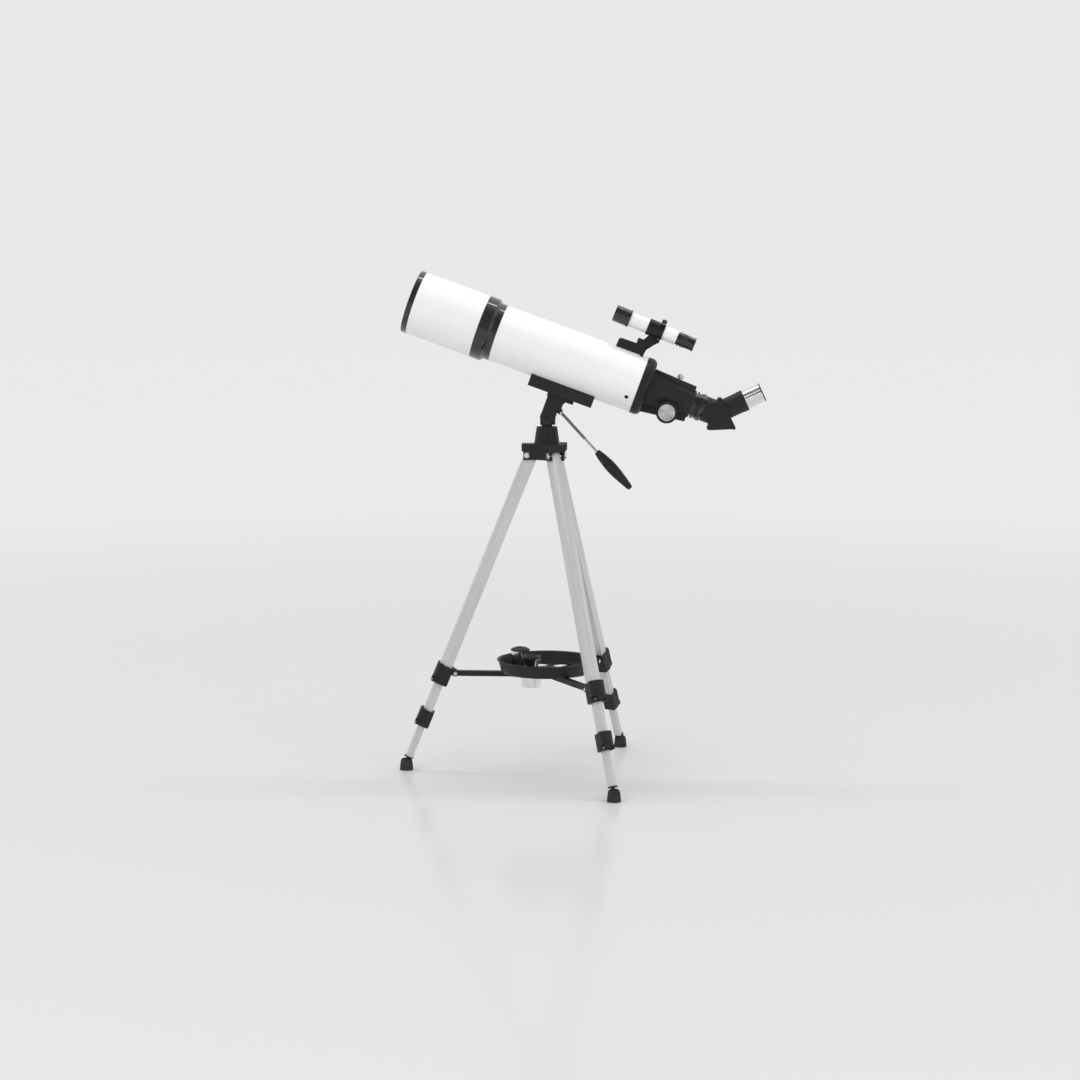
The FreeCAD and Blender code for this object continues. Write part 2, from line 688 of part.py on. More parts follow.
def tilt_block():
    """Two cheeks either side of the tongue, neck with the handle boss, and the platform."""
    pivot = ("tilt_axis_along", "-tilt_axis_drop")
    side = ("-cheek_outer", "cheek_outer")
    eye = rod("tilt_eye", "y", "cheek_radius", side[0], side[1], pivot)
    web = box("tilt_web", ("tilt_axis_along - cheek_radius", "tilt_axis_along + cheek_radius"),
              side, ("-tilt_axis_drop", "-82"))
    neck = padded("tilt_neck", [("-10", "-84.4"), ("-10", "-63"), ("21.5", "-63"), ("20.2", "-66.6"),
                                ("17.4", "-71.8"), ("17", "-84.4")], "26")
    platform = box("tilt_platform", ("-11.5", "32"), ("-15", "15"), ("-66.2", "saddle_bottom"))
    boss = bind(doc.addObject("Part::Cylinder", "tilt_handle_boss"), Radius="5", Height="9")
    local_handle = TUBE.inverse() * HANDLE
    boss.Placement = local_handle * at(-7, 0, 0) * turn(Y_AXIS, 90)
    socket = bind(doc.addObject("Part::Cylinder", "tilt_handle_socket"),
                  Radius="handle_rod_radius + pin_gap", Height="14")
    socket.Placement = local_handle * at(-9, 0, 0) * turn(Y_AXIS, 90)
    slot_side = ("-tongue_half - slide_gap", "tongue_half + slide_gap")
    reach = "tongue_radius + slide_gap"
    slot = rod("tilt_slot", "y", reach, slot_side[0], slot_side[1], pivot)
    relief = box("tilt_slot_relief", ("tilt_axis_along - (%s)" % reach, "tilt_axis_along + " + reach),
                 slot_side, ("-tilt_axis_drop - 14", "-tilt_axis_drop + 9"))
    pin = rod("tilt_pin_bore", "y", "tilt_pin_radius + pin_gap", "-14", "14", pivot)
    solid = fuse("tilt_solid", eye, web, neck, platform, boss)
    finish("tilt_block", cut("tilt_block", solid, socket, slot, relief, pin), TUBE)


def tilt_pin():
    """Headless pin, flush with the cheeks."""
    tip = "tilt_pin_radius - 0.6"
    outline = [("-cheek_outer + 0.1", "0"), ("-cheek_outer + 0.1", tip),
               ("-cheek_outer + 0.7", "tilt_pin_radius"), ("cheek_outer - 0.7", "tilt_pin_radius"),
               ("cheek_outer - 0.1", tip), ("cheek_outer - 0.1", "0")]
    finish("tilt_pin", turned("tilt_pin", outline), TILT_AXIS * turn(Z_AXIS, 90))


def handle_rod():
    outline = [("-8.6", "0"), ("-8.6", "handle_rod_radius"), ("60", "handle_rod_radius"),
               ("61", "handle_rod_radius - 0.4"), ("grip_start + 62", "handle_rod_radius - 0.4"),
               ("grip_start + 62", "0")]
    finish("handle_rod", turned("handle_rod", outline), HANDLE)


def handle_grip():
    bore = "handle_rod_radius - 0.4"
    outline = [("grip_start", bore), ("grip_start", "4.4"), ("grip_start + 2", "5.2"),
               ("grip_start + 12", "7"), ("grip_start + 26", "8.7"), ("grip_start + 36", "9"),
               ("grip_start + 48", "8.4"), ("grip_start + 64", "6.5"), ("grip_end - 4", "5"),
               ("grip_end", "3.6"), ("grip_end", "0"), ("grip_start + 62", "0"),
               ("grip_start + 62", bore)]
    finish("handle_grip", turned("handle_grip", outline), HANDLE)


# ---------------------------------------------------------------- crown

def on_each_leg(make):
    """One piece made for every leg direction and turned to it about the pan axis."""
    pieces = []
    for tag, azimuth in LEGS.items():
        piece = make(tag)
        piece.Placement = turn(Z_AXIS, azimuth) * piece.Placement
        pieces.append(piece)
    return pieces


def crown_arm(tag):
    half = ("-crown_arm_half", "crown_arm_half")
    lower = box("crown_cheeks_" + tag, ("0", "crown_arm_reach"), half,
                ("crown_bottom", "crown_cap_bottom"))
    cap = box("crown_cap_" + tag, ("0", "crown_cap_reach"), half,
              ("crown_cap_bottom", "cone_bottom"))
    return fuse("crown_arm_" + tag, lower, cap)


def crown_cutter(tag):
    slot = box("crown_slot_" + tag, ("leg_slot_start", "crown_cap_reach + 4"),
               ("-leg_slot_half", "leg_slot_half"), ("crown_bottom - 2", "crown_cap_bottom"))
    bolt = rod("crown_bolt_" + tag, "y", "leg_bolt_radius", "-20", "20",
               ("leg_pivot_radius", "leg_pivot_height"))
    return fuse("crown_cutter_" + tag, slot, bolt)


def crown_webs():
    """Fill the three corners between the arms with a hollow curve tangent to both arms."""
    webs = []
    curve = 33.0
    half = number("crown_arm_half")
    corner = half / math.sin(math.radians(60))
    reach = curve * math.tan(math.radians(30))
    centre = corner + curve / math.cos(math.radians(30))
    for tag, azimuth in LEGS.items():
        middle = turn(Z_AXIS, azimuth + 60)
        points = []
        for turned_by in (-60, 60):
            tip = turn(Z_AXIS, turned_by).multVec(Vector(reach, 0, 0))
            points.append(Vector(corner, 0, 0) + tip)
        arc = Part.Arc(points[0], Vector(centre - curve, 0, 0), points[1])
        sides = [arc.toShape(), Part.makeLine(points[1], Vector()), Part.makeLine(Vector(), points[0])]
        face = Part.Face(Part.Wire(sides))
        height = number("cone_bottom - crown_bottom")
        web = doc.addObject("Part::Feature", "crown_web_" + tag)
        web.Shape = face.extrude(Vector(0, 0, height))
        web.Placement = middle * at(0, 0, number("crown_bottom"))
        webs.append(web)
    return webs


def hub_crown():
    solid = fuse("crown_solid", *(on_each_leg(crown_arm) + crown_webs()))
    spindle = rod("crown_spindle_bore", "z", "spindle_radius - 1", "crown_bottom - 1",
                  "cone_bottom + 1")
    cutters = on_each_leg(crown_cutter)
    finish("hub_crown", cut("hub_crown", solid, spindle, *cutters))


def hub_bolt(tag):
    half = "crown_arm_half"
    outline = [("-%s - 2.6" % half, "0"), ("-%s - 2.6" % half, "3.4"), ("-%s - 1.6" % half, "4.8"),
               ("-" + half, "4.8"), ("-" + half, "leg_bolt_radius"), (half, "leg_bolt_radius"),
               (half, "4.8"), (half + " + 1.6", "4.8"), (half + " + 2.6", "3.4"),
               (half + " + 2.6", "0")]
    bolt = turned("hub_bolt_" + tag, outline)
    bolt.Placement = at(number("leg_pivot_radius"), 0, number("leg_pivot_height")) * turn(Z_AXIS, 90)
    return bolt


def hub_bolts():
    finish("hub_bolts", group("hub_bolts", *on_each_leg(hub_bolt)))


# ---------------------------------------------------------------- legs

def d_section(name, depth, width, low, high, centre="-leg_offset"):
    """A bar with a flat inner side and a half-round outer side."""
    rear = "%s - (%s) / 2" % (centre, depth)
    middle = "%s + (%s) / 2 - (%s) / 2" % (centre, depth, width)
    half = "(%s) / 2" % width
    flat = box(name + "_flat", (rear, middle), ("-" + half, half), (low, high))
    bow = rod(name + "_bow", "z", half, low, high, (middle, "0"))
    return fuse(name, flat, bow)


def leg_tube(name, size, low, high):
    """A thin D tube; size names the depth and width cells."""
    outer = d_section(name + "_outer", size + "_depth", size + "_width", low, high)
    inner = d_section(name + "_inner", size + "_depth - leg_wall * 2", size + "_width - leg_wall * 2",
                      low + " - 1", high + " + 1")
    return outer, inner


def upper_tube(tag, frame):
    name = "leg_%s_upper_tube" % tag
    outer, inner = leg_tube(name, "upper", "upper_foot", "upper_top")
    bolt = rod(name + "_bolt", "y", "leg_bolt_radius + pin_gap", "-15", "15")
    finish(name, cut(name, outer, inner, bolt), frame)


def middle_tube(tag, frame):
    name = "leg_%s_middle_tube" % tag
    outer, inner = leg_tube(name, "middle", "middle_foot", "middle_top")
    finish(name, cut(name, outer, inner), frame)


def ankle():
    """Length from the leg's pivot down to the ball of the foot, as a formula."""
    rise = "(leg_pivot_height - leg_offset * 0.374607 - ankle_height)"
    return rise + " / 0.927184"


def lower_tube(tag, frame):
    name = "leg_%s_lower_tube" % tag
    foot = "-(%s) + ankle_disc_up" % ankle()
    outer, inner = leg_tube(name, "lower", foot, "lower_top")
    finish(name, cut(name, outer, inner), frame)


def ankle_plug(tag, frame):
    """Plug in the tube's end with its disc, neck and ball."""
    name = "leg_%s_ankle_plug" % tag
    up = "ankle_disc_up"
    plug = d_section(name + "_spigot", "lower_depth - leg_wall * 2", "lower_width - leg_wall * 2",
                     up, up + " + 12", "0")
    disc = rod(name + "_disc", "z", "ankle_disc_radius", up + " - 1.8", up)
    neck = rod(name + "_neck", "z", "2.6", "0", up)
    ball = sphere(name + "_ball", "ankle_ball_radius", "0", "0")
    centre = at(-number("leg_offset"), 0, -number(ankle()))
    finish(name, fuse(name, plug, disc, neck, ball), frame * centre)


def collar(tag, size, tube, end, slider, lug):
    """Clamp collar: seats the tube above, guides the one below, and carries the lever's hinge."""
    name = "leg_%s_%s_collar" % (tag, size)
    low = size + "_collar_low"
    high = size + "_collar_high"
    centre = size + "_collar_centre"
    width = size + "_collar_width"
    block = d_section(name + "_block", size + "_collar_depth", width, low, high, centre)
    corners = rod(name + "_corners", "z", width + " / 2 + 3", low, high, (centre, "0"))
    parts = [common(name + "_body", block, corners)]
    hinge_x = "%s + %s_collar_depth / 2 + lever_gap + lever_thick / 2" % (centre, size)
    hinge_z = low + " + 3.6"
    for side, sign in SIDES.items():
        span = ("7.4", "9.2") if sign > 0 else ("-9.2", "-7.4")
        parts.append(box("%s_ear_%s" % (name, side), (centre, hinge_x), span, (low, low + " + 7.2")))
        parts.append(rod("%s_eye_%s" % (name, side), "y", "1.9", span[0], span[1],
                         (hinge_x, hinge_z)))
    parts.append(rod(name + "_pin", "y", "0.9", "-8", "8", (hinge_x, hinge_z)))
    if lug:
        for side, sign in SIDES.items():
            span = ("brace_half_width + slide_gap", "8.2")
            if sign < 0:
                span = ("-8.2", "-brace_half_width - slide_gap")
            parts.append(rod("%s_lug_%s" % (name, side), "y", "lug_radius", span[0], span[1],
                             ("lug_in", "lug_up")))
            parts.append(box("%s_web_%s" % (name, side), ("lug_in", centre), span,
                             ("lug_up - lug_radius", "lug_up + lug_radius")))
        parts.append(rod(name + "_rivet", "y", "rivet_radius", "-8.6", "8.6", ("lug_in", "lug_up")))
    seat = d_section(name + "_seat", tube + "_depth", tube + "_width", end, high + " + 1")
    guide = d_section(name + "_guide", slider + "_depth + slide_gap * 2",
                      slider + "_width + slide_gap * 2", low + " - 1", end + " + 1")
    return name, fuse(name + "_solid", *parts), seat, guide


def upper_collar(tag, frame):
    name, solid, seat, guide = collar(tag, "upper", "upper", "upper_foot", "middle", True)
    finish(name, cut(name, solid, seat, guide), frame)


def lower_collar(tag, frame):
    name, solid, seat, guide = collar(tag, "lower", "middle", "middle_foot", "lower", False)
    finish(name, cut(name, solid, seat, guide), frame)


def lever(tag, size, frame):
    """Curved clamp lever on the collar's outer side, hinged at its lower end."""
    name = "leg_%s_%s_lever" % (tag, size)
    low = size + "_collar_low"
    high = size + "_collar_high"
    centre = size + "_collar_centre"
    half = size + "_collar_width / 2"
    middle = "%s + %s_collar_depth / 2 - %s" % (centre, size, half)
    outer = rod(name + "_outer", "z", half + " + lever_gap + lever_thick", low + " + 9",
                high + " + 1.6", (middle, "0"))
    inner = rod(name + "_inner", "z", half + " + lever_gap", low, high + " + 3", (middle, "0"))
    window = box(name + "_window", (middle, middle + " + 30"),
                 ("-%s + 0.1" % half, half + " - 0.1"), (low, high + " + 3"))
    blade = common(name + "_blade", cut(name + "_shell", outer, inner), window)
    hinge_x = "%s + %s_collar_depth / 2 + lever_gap + lever_thick / 2" % (centre, size)
    hinge_z = low + " + 3.6"
    knuckle = rod(name + "_knuckle", "y", "lever_thick / 2", "-7", "7", (hinge_x, hinge_z))
    strap = box(name + "_strap", (hinge_x + " - lever_thick / 2", hinge_x + " + lever_thick / 2"),
                ("-7", "7"), (hinge_z, low + " + 9.4"))
    solid = fuse(name + "_solid", blade, knuckle, strap)
    pin = rod(name + "_pin", "y", "0.9 + pin_gap", "-10", "10", (hinge_x, hinge_z))
    finish(name, cut(name, solid, pin), frame)


def foot(tag, azimuth):
    """Rubber cup that stands flat on the floor and swivels on the leg's ball."""
    name = "leg_%s_foot" % tag
    top = "ankle_height + 6.8"
    outline = [("0", "0"), ("0", "foot_radius - 0.5"), ("0.8", "foot_radius"),
               ("13", "foot_radius - 1.2"), ("16.6", "foot_radius - 2.1"), (top, "foot_radius - 3.6"),
               (top, "0")]
    cup = turned(name + "_cup", outline)
    cup.Placement = UPRIGHT
    socket = sphere(name + "_socket", "ankle_ball_radius + slide_gap", "0", "ankle_height")
    mouth = rod(name + "_mouth", "z", "4.2", "ankle_height + 2.4", top + " + 1", ("0", "0"), "7.6")
    reach = number("leg_pivot_radius + (%s) * 0.374607 - leg_offset * 0.927184" % ankle())
    finish(name, cut(name, cup, socket, mouth), turn(Z_AXIS, azimuth) * at(reach, 0, 0))


def brace(tag, azimuth, frame):
    """Flat arm from the collar's lug to the underside of the tray."""
    name = "leg_%s_brace" % tag
    pivot = frame.multVec(Vector(number("lug_in"), 0, number("lug_up")))
    reach = math.hypot(pivot.x, pivot.y)
    half = "brace_half_width"
    high = "brace_half_height"
    bar = box(name + "_bar", ("brace_inner - %.4f" % reach, "0"), ("-" + half, half),
              ("-" + high, high))
    eye = rod(name + "_eye", "y", high, "-" + half, half)
    hole = rod(name + "_hole", "y", "rivet_radius + pin_gap", "-10", "10")
    solid = fuse(name + "_solid", bar, eye)
    finish(name, cut(name, solid, hole), turn(Z_AXIS, azimuth) * at(reach, 0, pivot.z))


def legs():
    for tag, azimuth in LEGS.items():
        frame = leg_frame(azimuth)
        upper_tube(tag, frame)
        upper_collar(tag, frame)
        lever(tag, "upper", frame)
        middle_tube(tag, frame)
        lower_collar(tag, frame)
        lever(tag, "lower", frame)
        lower_tube(tag, frame)
        ankle_plug(tag, frame)
        foot(tag, azimuth)
        brace(tag, azimuth, frame)


# ---------------------------------------------------------------- tray

def tray():
    """Round accessory dish with a ring of eyepiece holes in its floor."""
    floor = "tray_floor_bottom"
    outline = [(floor, "0"), (floor, "72.6"), (floor + " + 3", "74.6"), ("tray_rim - 2.2", "78.8"),
               ("tray_rim - 1.2", "80.6"), ("tray_rim", "80.8"), ("tray_rim", "78.4"),
               ("tray_rim - 1.4", "76.8"), ("tray_floor_top + 2.6", "72.4"),
               ("tray_floor_top", "70.6"), ("tray_floor_top", "0")]
    dish = turned("tray_dish", outline)
    dish.Placement = UPRIGHT
    holes = []
    total = int(number("tray_holes"))
    for index in range(total):
        hole = rod("tray_hole_%d" % index, "z", "tray_hole_radius", floor + " - 1",
                   "tray_floor_top + 4")
        angle = number("tray_hole_first") + 360.0 / total * index
        spot = turn(Z_AXIS, angle).multVec(Vector(number("tray_hole_circle"), 0, 0))
        hole.setExpression(".Placement.Base.x", "%.5f" % spot.x)
        hole.setExpression(".Placement.Base.y", "%.5f" % spot.y)
        holes.append(hole)
    finish("tray", cut("tray", dish, *holes))


def tray_seat(index):
    """Frame standing on the tray's floor over one of its holes."""
    angle = number("tray_hole_first") + 360.0 / number("tray_holes") * index
    spot = turn(Z_AXIS, angle).multVec(Vector(number("tray_hole_circle"), 0, 0))
    return at(spot.x, spot.y, number("tray_floor_top")) * UPRIGHT


def spare_eyepieces():
    barrel = "eyepiece_barrel"
    tall = [("-15.4", "13.4"), ("-15.4", barrel), ("0.1", barrel), ("0.1", "17"), ("3", "17"),
            ("3", "14.8"), ("14.6", "14.8"), ("14.6", "14.3"), ("27.2", "14.3"),
            ("27.6", "15.6"), ("29.6", "15.6"), ("32", "11"), ("32.6", "9"), ("31", "5"),
            ("24", "5"), ("2", "9"), ("0", "13.4")]
    short = [("-19.4", "13.4"), ("-19.4", barrel), ("0.1", barrel), ("0.1", "17"), ("2", "17"),
             ("12", "10.8"), ("14", "10.8"), ("26.8", "15.2"), ("27.2", "16.2"), ("29.4", "16.2"),
             ("30.4", "14.6"), ("27", "9"), ("20", "5"), ("15", "5"), ("2", "8"), ("0", "13.4")]
    finish("spare_eyepiece_1", turned("spare_eyepiece_1", tall), tray_seat(3))
    finish("spare_eyepiece_2", turned("spare_eyepiece_2", short), tray_seat(5))


# ---------------------------------------------------------------- build and write

def check_document():
    for item in doc.Objects:
        if "Invalid" in item.State or "Error" in item.State:
            raise RuntimeError("%s failed: %s" % (item.Name, item.State))
    for node in nodes:
        if node.Shape.isNull() or not node.Shape.isValid():
            raise RuntimeError("%s has no valid shape" % node.Label)


def write_parts():
    os.makedirs("parts", exist_ok=True)
    for node in nodes:
        node.Shape.exportStep("parts/%s.step" % node.Label)


main_tube()
dew_shield()
dew_shield_ring()
objective_cell()
objective_lenses()
saddle()
focuser_body()
drawtube()
pinion_shaft()
focus_knobs()
focus_lock_screw()
diagonal_housing()
prism()
eyepiece()
finder_bracket()
finder_screws()
finder_tube()
finder_objective_cell()
finder_eyepiece()
column_cone()
pan_head()
tilt_block()
tilt_pin()
handle_rod()
handle_grip()
hub_crown()
hub_bolts()
legs()
tray()
spare_eyepieces()
doc.recompute()
check_document()
write_parts()
print("%d nodes" % len(nodes))
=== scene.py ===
import json
import math

import bmesh
import bpy
from mathutils import Matrix, Vector

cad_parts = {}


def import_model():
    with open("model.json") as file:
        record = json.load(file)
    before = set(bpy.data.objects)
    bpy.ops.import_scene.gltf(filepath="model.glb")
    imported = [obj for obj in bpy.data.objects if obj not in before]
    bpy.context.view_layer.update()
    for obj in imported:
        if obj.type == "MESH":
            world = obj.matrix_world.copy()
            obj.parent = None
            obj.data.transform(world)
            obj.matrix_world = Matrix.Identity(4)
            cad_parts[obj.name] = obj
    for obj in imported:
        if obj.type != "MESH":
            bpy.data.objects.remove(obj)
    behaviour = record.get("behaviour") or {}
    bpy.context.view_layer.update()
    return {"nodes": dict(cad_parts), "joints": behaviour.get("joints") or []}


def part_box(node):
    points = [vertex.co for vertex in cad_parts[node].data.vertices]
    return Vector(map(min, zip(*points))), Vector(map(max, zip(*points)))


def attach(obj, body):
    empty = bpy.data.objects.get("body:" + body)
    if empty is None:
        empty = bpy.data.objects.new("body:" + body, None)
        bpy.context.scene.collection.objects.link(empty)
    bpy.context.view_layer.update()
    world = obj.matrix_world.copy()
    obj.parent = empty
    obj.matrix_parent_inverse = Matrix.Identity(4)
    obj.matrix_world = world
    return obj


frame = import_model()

MM = 0.001
NODES = frame["nodes"]
JOINTS = {joint["name"]: joint for joint in frame["joints"]}
LEGS = ("a", "b", "c")


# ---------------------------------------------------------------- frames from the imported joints

def local_frame(origin, x_axis, y_axis):
    """A matrix whose x runs along x_axis and whose y is as near y_axis as it can be."""
    x = Vector(x_axis).normalized()
    z = x.cross(Vector(y_axis)).normalized()
    y = z.cross(x)
    matrix = Matrix((x, y, z)).transposed().to_4x4()
    matrix.translation = Vector(origin)
    return matrix


def joint_point(name):
    return Vector(JOINTS[name]["pos_m"])


def joint_axis(name):
    return Vector(JOINTS[name]["axis"])


SIDEWAYS = Vector((0, 1, 0))
TUBE_AXIS = joint_axis("focus_travel")
TURN_STATION = 225.0
TUBE_ORIGIN = joint_point("diagonal_turn") - TUBE_AXIS * TURN_STATION * MM
TUBE = local_frame(TUBE_ORIGIN, TUBE_AXIS, SIDEWAYS)
KNOBS = local_frame(joint_point("focus_knob_turn"), TUBE_AXIS, SIDEWAYS)
FINDER_AXIS = joint_axis("finder_focus")
FINDER = local_frame(joint_point("finder_aim"), FINDER_AXIS, SIDEWAYS)
HANDLE_AXIS = joint_axis("handle_twist")
HANDLE = local_frame(joint_point("handle_twist"), HANDLE_AXIS, SIDEWAYS)
FOLD_STATION = 251.7
HOLDER_LENGTH = 49.92
EYEPIECE_AXIS = joint_axis("eyepiece_pull")
HOLDER_END = TUBE @ Vector((FOLD_STATION * MM, 0, 0)) + EYEPIECE_AXIS * HOLDER_LENGTH * MM
EYEPIECE = local_frame(HOLDER_END, EYEPIECE_AXIS, SIDEWAYS)


def leg_down(leg):
    return joint_axis("leg_%s_middle_slide" % leg)


# ---------------------------------------------------------------- material helpers

def new_material(name, **sockets):
    """A Principled material with its constant sockets set straight on the shader."""
    material = bpy.data.materials.new(name)
    material.use_nodes = True
    shader = material.node_tree.nodes["Principled BSDF"]
    for socket, value in sockets.items():
        shader.inputs[socket.replace("_", " ")].default_value = value
    return material, shader


def feed(tree, socket, value):
    """Link a node's output to the socket, or set the socket to a constant."""
    if hasattr(value, "is_linked"):
        tree.links.new(value, socket)
    else:
        socket.default_value = value


def add_node(material, kind, **inputs):
    node = material.node_tree.nodes.new(kind)
    for socket, value in inputs.items():
        feed(material.node_tree, node.inputs[socket], value)
    return node


def link(material, output, target):
    material.node_tree.links.new(output, target)


def object_coordinates(material):
    return material.node_tree.nodes.new("ShaderNodeTexCoord").outputs["Object"]


def vector_math(material, operation, first, second):
    node = material.node_tree.nodes.new("ShaderNodeVectorMath")
    node.operation = operation
    for socket, value in zip(node.inputs, (first, second)):
        feed(material.node_tree, socket, value)
    return node


def scaled(material, vector, factor):
    node = material.node_tree.nodes.new("ShaderNodeVectorMath")
    node.operation = "SCALE"
    feed(material.node_tree, node.inputs[0], vector)
    feed(material.node_tree, node.inputs["Scale"], factor)
    return node.outputs["Vector"]


def drawn_out(material, axis, stretch):
    """Object coordinates squeezed along axis, so that a noise on them shows as long strokes."""
    place = object_coordinates(material)
    along = vector_math(material, "DOT_PRODUCT", place, tuple(axis)).outputs["Value"]
    shift = scaled(material, tuple(axis), along)
    shift = scaled(material, shift, 1.0 - 1.0 / stretch)
    return vector_math(material, "SUBTRACT", place, shift).outputs["Vector"]


def round_lines(material, origin, axis):
    """A coordinate that changes only along axis, for lathe lines round it."""
    place = vector_math(material, "SUBTRACT", object_coordinates(material), tuple(origin))
    along = vector_math(material, "DOT_PRODUCT", place.outputs["Vector"], tuple(axis))
    return scaled(material, (1.0, 0.0, 0.0), along.outputs["Value"])


def noise(material, vector, scale, detail=3.0, rough=0.55):
    node = add_node(material, "ShaderNodeTexNoise", Vector=vector, Scale=scale, Detail=detail,
                    Roughness=rough)
    return node.outputs["Fac"]


def spread(material, factor, low, high, start=0.3, end=0.7):
    """The noise's middle band mapped on to the range from low to high."""
    node = material.node_tree.nodes.new("ShaderNodeMapRange")
    link(material, factor, node.inputs["Value"])
    node.inputs["From Min"].default_value = start
    node.inputs["From Max"].default_value = end
    node.inputs["To Min"].default_value = low
    node.inputs["To Max"].default_value = high
    return node.outputs["Result"]


def tinted(material, factor, first, second):
    ramp = material.node_tree.nodes.new("ShaderNodeValToRGB")
    ramp.color_ramp.elements[0].position = 0.3
    ramp.color_ramp.elements[0].color = (*first, 1)
    ramp.color_ramp.elements[1].position = 0.7
    ramp.color_ramp.elements[1].color = (*second, 1)
    link(material, factor, ramp.inputs["Fac"])
    return ramp.outputs["Color"]


def bumped(material, shader, height, distance, strength):
    node = add_node(material, "ShaderNodeBump", Height=height, Distance=distance, Strength=strength)
    link(material, node.outputs["Normal"], shader.inputs["Normal"])


# ---------------------------------------------------------------- materials

def enamel(name, bright, dull):
    """Sprayed gloss enamel: a faint orange peel under a clear coat, and a little handling haze."""
    material, shader = new_material(name, Coat_Weight=0.35, Coat_Roughness=0.06)
    place = object_coordinates(material)
    cloud = noise(material, place, 9.0, 4.0)
    link(material, tinted(material, cloud, dull, bright), shader.inputs["Base Color"])
    link(material, spread(material, noise(material, place, 45.0), 0.26, 0.38),
         shader.inputs["Roughness"])
    bumped(material, shader, noise(material, place, 420.0, 2.0), 0.00002, 0.35)
    return material


def moulding(name, colour, roughness, grain=0.00004, grain_scale=1500.0):
    """Black injection moulding: fine spark-eroded grain, with softer and shinier patches."""
    material, shader = new_material(name, Specular_IOR_Level=0.32)
    place = object_coordinates(material)
    patches = noise(material, place, 28.0, 4.0)
    lighter = tuple(value * 1.35 for value in colour)
    link(material, tinted(material, patches, colour, lighter), shader.inputs["Base Color"])
    cloud = noise(material, place, 70.0, 5.0)
    link(material, spread(material, cloud, roughness - 0.05, roughness + 0.09),
         shader.inputs["Roughness"])
    bumped(material, shader, noise(material, place, grain_scale, 2.0), grain, 0.6)
    return material


def lacquer(name, colour, origin, axis):
    """Turned black metal under smooth lacquer, with faint lathe lines round the axis."""
    material, shader = new_material(name, Coat_Weight=0.9, Coat_Roughness=0.05,
                                    Specular_IOR_Level=0.3)
    place = object_coordinates(material)
    lighter = tuple(value * 1.5 for value in colour)
    link(material, tinted(material, noise(material, place, 35.0, 4.0), colour, lighter),
         shader.inputs["Base Color"])
    link(material, spread(material, noise(material, place, 90.0), 0.24, 0.36),
         shader.inputs["Roughness"])
    lines = noise(material, round_lines(material, origin, axis), 2200.0, 2.0)
    bumped(material, shader, lines, 0.00001, 0.12)
    return material


def drawn_metal(name, dark, bright, axis, roughness, metallic, stretch=60.0, scale=1400.0):
    """Satin drawn metal, with long fine strokes along the axis."""
    material, shader = new_material(name, Metallic=metallic)
    strokes = noise(material, drawn_out(material, axis, stretch), scale, 3.0)
    wide = noise(material, drawn_out(material, axis, 8.0), 60.0, 3.0)
    link(material, tinted(material, wide, dark, bright), shader.inputs["Base Color"])
    link(material, spread(material, strokes, roughness - 0.08, roughness + 0.08),
         shader.inputs["Roughness"])
    bumped(material, shader, strokes, 0.00001, 0.5)
    return material


def turned_metal(name, colour, origin, axis, roughness):
    """Bright turned or plated metal with fine lines round its axis."""
    material, shader = new_material(name, Metallic=1.0)
    lines = noise(material, round_lines(material, origin, axis), 2600.0, 2.0)
    smudge = noise(material, object_coordinates(material), 110.0, 4.0)
    darker = tuple(value * 0.9 for value in colour)
    link(material, tinted(material, smudge, darker, colour), shader.inputs["Base Color"])
    link(material, spread(material, smudge, roughness, roughness + 0.08),
         shader.inputs["Roughness"])
    bumped(material, shader, lines, 0.000006, 0.4)
    return material


def spun_face(name):
    """A knob's spun aluminium face: fine circles, with light and dark sectors of sheen painted into
    the base colour as painted highlight and painted shade.
    """
    material, shader = new_material(name, Metallic=0.85, Anisotropic=0.75)
    place = object_coordinates(material)
    parts = add_node(material, "ShaderNodeSeparateXYZ", Vector=place)
    angle = material.node_tree.nodes.new("ShaderNodeMath")
    angle.operation = "ARCTAN2"
    link(material, parts.outputs["Y"], angle.inputs[0])
    link(material, parts.outputs["Z"], angle.inputs[1])
    direction = scaled(material, (1.0, 0.0, 0.0), angle.outputs["Value"])
    # Painted highlight and painted shade: the base colour turns lighter and darker in sectors round
    # the knob's axis.
    painted_sheen_sectors = noise(material, direction, 1.1, 2.0, 0.4)
    link(material, tinted(material, painted_sheen_sectors, (0.42, 0.42, 0.44), (0.80, 0.80, 0.81)),
         shader.inputs["Base Color"])
    flat = vector_math(material, "MULTIPLY", place, (0.0, 1.0, 1.0)).outputs["Vector"]
    radius = vector_math(material, "LENGTH", flat, (0, 0, 0)).outputs["Value"]
    rings = noise(material, scaled(material, (1.0, 0.0, 0.0), radius), 5200.0, 2.0)
    link(material, spread(material, rings, 0.28, 0.42), shader.inputs["Roughness"])
    tangent = material.node_tree.nodes.new("ShaderNodeTangent")
    tangent.direction_type = "RADIAL"
    tangent.axis = "X"
    link(material, tangent.outputs["Tangent"], shader.inputs["Tangent"])
    bumped(material, shader, rings, 0.000012, 0.5)
    return material


def soft_rubber(name, colour):
    material, shader = new_material(name, Specular_IOR_Level=0.3)
    place = object_coordinates(material)
    lighter = tuple(value * 1.6 for value in colour)
    link(material, tinted(material, noise(material, place, 55.0, 5.0), colour, lighter),
         shader.inputs["Base Color"])
    link(material, spread(material, noise(material, place, 160.0, 4.0), 0.62, 0.85),
         shader.inputs["Roughness"])
    bumped(material, shader, noise(material, place, 900.0, 4.0), 0.00006, 0.6)
    return material


